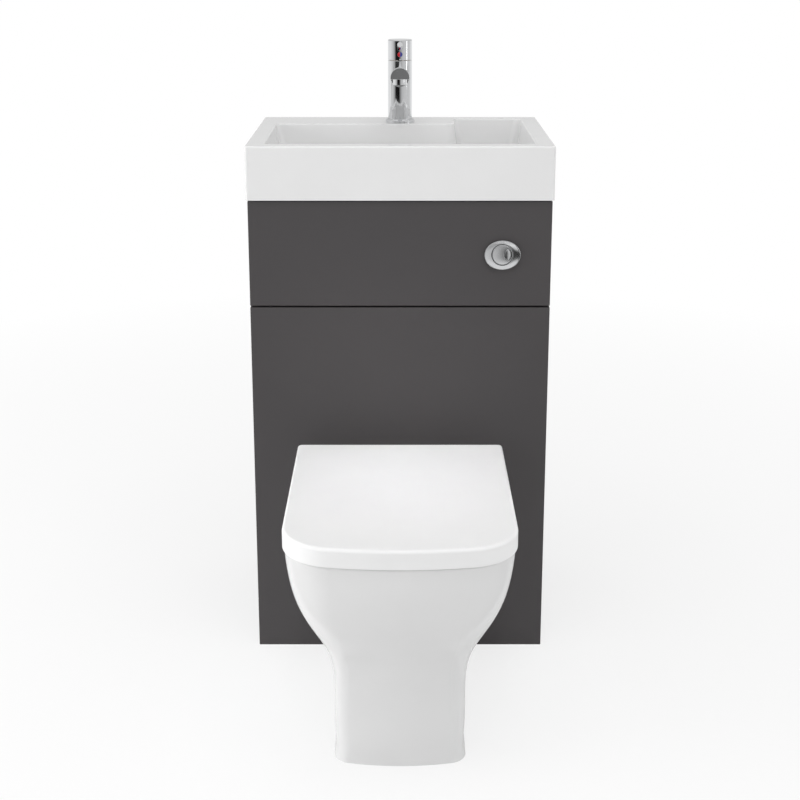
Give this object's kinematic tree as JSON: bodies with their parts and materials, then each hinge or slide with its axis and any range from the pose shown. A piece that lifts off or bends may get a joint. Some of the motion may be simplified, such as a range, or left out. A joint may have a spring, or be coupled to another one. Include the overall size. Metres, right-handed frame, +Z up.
{
  "type": "toilet and vanity combination unit",
  "caption": "Slim dark grey cabinet with a ceramic basin and mixer tap on top, a concealed cistern with a dual flush button, and a back-to-wall toilet with a soft-square lid",
  "frame": {"origin": "on the floor at the wall plane, mid-width of the cabinet", "axes": "+X to the right as seen from the front, +Y to the wall, +Z up; the front faces -Y"},
  "size_m": [0.5, 0.846, 1.0273],
  "materials": {
    "cabinet_board": "matt lacquer",
    "ceramic": "glossy glaze",
    "seat_plastic": "glossy",
    "chrome": "polished",
    "white_plastic": "moulded",
    "grey_plastic": "moulded",
    "rubber": "matt",
    "brass": "turned",
    "steel": "zinc plated",
    "index_plug": "red and blue halves"
  },
  "bodies": {
    "unit": {"basin": "ceramic", "basin_overflow_ring": "chrome", "bottom_rail_back": "cabinet_board", "bottom_rail_front": "cabinet_board", "cistern_cover": "white_plastic", "cistern_nuts": "white_plastic", "cistern_shelf": "cabinet_board", "cistern_tank": "white_plastic", "corner_blocks": "cabinet_board", "fill_valve_body": "white_plastic", "flush_bezel": "chrome", "flush_button_nut": "white_plastic", "flush_button_sleeve": "white_plastic", "flush_pipe": "white_plastic", "flush_valve_body": "white_plastic", "flush_valve_seal": "rubber", "front_panel_pegs": "grey_plastic", "hinge_bolt_nuts": "grey_plastic", "hinge_posts": "chrome", "lower_front_panel": "cabinet_board", "middle_rail": "cabinet_board", "pan_connector": "white_plastic", "pan_floor_brackets": "grey_plastic", "pan_seals": "rubber", "pan_side_screws": "chrome", "side_panel_left": "cabinet_board", "side_panel_right": "cabinet_board", "tap_aerator": "chrome", "tap_base_ring": "chrome", "tap_body": "chrome", "tap_cartridge": "grey_plastic", "tap_cartridge_nut": "brass", "tap_fixing_nut": "brass", "tap_fixing_stud": "steel", "toilet_pan": "ceramic", "top_rail_back": "cabinet_board", "top_rail_front": "cabinet_board", "trap_body": "white_plastic", "trap_cup": "white_plastic", "trap_nuts": "white_plastic", "upper_front_panel": "cabinet_board", "wall_brackets": "steel", "waste_back_nut": "white_plastic", "waste_body": "chrome", "waste_pipe": "white_plastic", "waste_seal": "rubber"},
    "seat_ring": {"seat_ring": "seat_plastic", "seat_ring_buffers": "rubber"},
    "seat_lid": {"seat_lid": "seat_plastic", "seat_lid_buffers": "rubber"},
    "large_button": {"flush_button_large": "chrome"},
    "small_button": {"flush_button_small": "chrome"},
    "plunger": {"flush_valve_plunger": "white_plastic"},
    "float": {"fill_valve_float": "grey_plastic"},
    "turret": {"tap_turret": "chrome"},
    "handle": {"tap_stem": "chrome", "tap_handle": "chrome", "tap_lever": "chrome", "tap_index_plug": "index_plug"},
    "plug": {"waste_plug": "chrome"}
  },
  "joints": [
    {"name": "seat_ring_hinge", "type": "hinge", "parent": "unit", "child": "seat_ring", "pos_m": [0, -0.436, 0.382], "axis": [-1, 0, 0], "range_deg": [0, 95]},
    {"name": "seat_lid_hinge", "type": "hinge", "parent": "seat_ring", "child": "seat_lid", "pos_m": [0, -0.436, 0.382], "axis": [1, 0, 0], "range_deg": [-95, 0]},
    {"name": "flush_button_large_press", "type": "slide", "parent": "unit", "child": "large_button", "axis": [0, 1, 0], "range_m": [0, 0.006], "stiffness_N_per_m": 900, "springref_m": -0.002},
    {"name": "flush_button_small_press", "type": "slide", "parent": "unit", "child": "small_button", "axis": [0, 1, 0], "range_m": [0, 0.005], "stiffness_N_per_m": 600, "springref_m": -0.002},
    {"name": "flush_valve_lift", "type": "slide", "parent": "unit", "child": "plunger", "axis": [0, 0, 1], "range_m": [0, 0.018]},
    {"name": "fill_valve_float_slide", "type": "slide", "parent": "unit", "child": "float", "axis": [0, 0, 1], "range_m": [-0.04, 0]},
    {"name": "tap_turn", "type": "hinge", "parent": "unit", "child": "turret", "pos_m": [0, -0.068, 0.987], "axis": [0, 0, 1], "range_deg": [-50, 50]},
    {"name": "tap_lift", "type": "hinge", "parent": "turret", "child": "handle", "pos_m": [0, -0.068, 0.987], "axis": [-1, 0, 0], "range_deg": [0, 18]},
    {"name": "waste_plug_press", "type": "slide", "parent": "unit", "child": "plug", "axis": [0, 0, 1], "range_m": [-0.008, 0]}
  ],
  "couplings": [
    {"joint": "flush_valve_lift", "follows": "flush_button_large_press", "ratio": 3}
  ]
}
